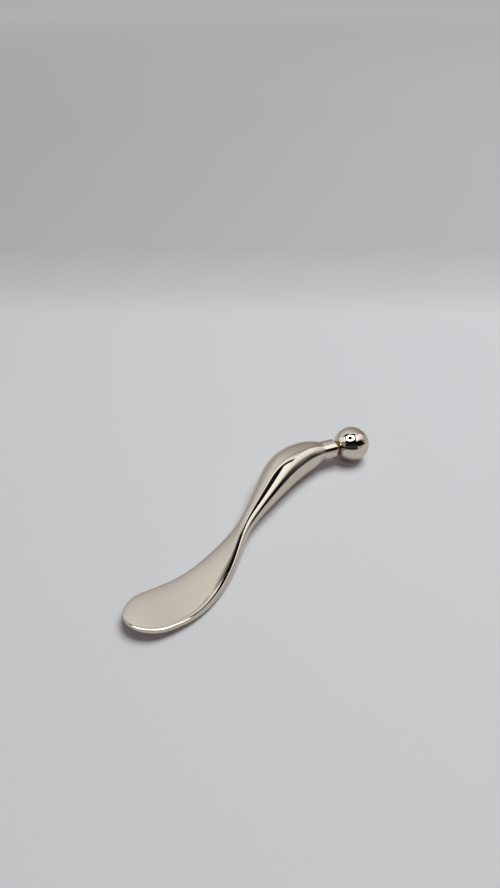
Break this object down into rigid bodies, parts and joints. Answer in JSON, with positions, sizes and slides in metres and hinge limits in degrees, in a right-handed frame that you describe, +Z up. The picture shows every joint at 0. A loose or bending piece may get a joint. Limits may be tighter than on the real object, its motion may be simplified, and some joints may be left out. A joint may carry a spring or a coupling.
{
  "type": "gua sha scraper",
  "caption": "Plated hand tool for facial massage: a thin rounded blade, a twisted neck, a drop-shaped handle and a free-turning roller ball on a collar.",
  "frame": {"origin": "under the middle of the whole object's box, on the surface that it rests on", "axes": "+X along the length from the blade's tip towards the roller ball, +Z up, +Y to the left"},
  "size_m": [0.1162, 0.0298, 0.013],
  "materials": {
    "plated_casting": "polished warm nickel plating on a zinc alloy casting",
    "plated_steel": "polished warm nickel plating on a turned ring",
    "plated_ball": "mirror polished warm nickel plating",
    "brass": "turned brass",
    "spring_steel": "stamped steel",
    "bearing_plastic": "black acetal"
  },
  "bodies": {
    "handle": {"scraper_body": "plated_casting", "collar": "plated_steel", "axle_pin": "brass", "outer_washer": "brass", "inner_washer": "spring_steel", "retaining_clip": "spring_steel"},
    "ball": {"roller_ball": "plated_ball", "bearing_bush": "bearing_plastic"}
  },
  "joints": [
    {"name": "ball_spin", "type": "hinge", "parent": "handle", "child": "ball", "pos_m": [0.05159, 0.00023, 0.0065], "axis": [-0.9063, 0.4226, 0], "continuous": true}
  ]
}
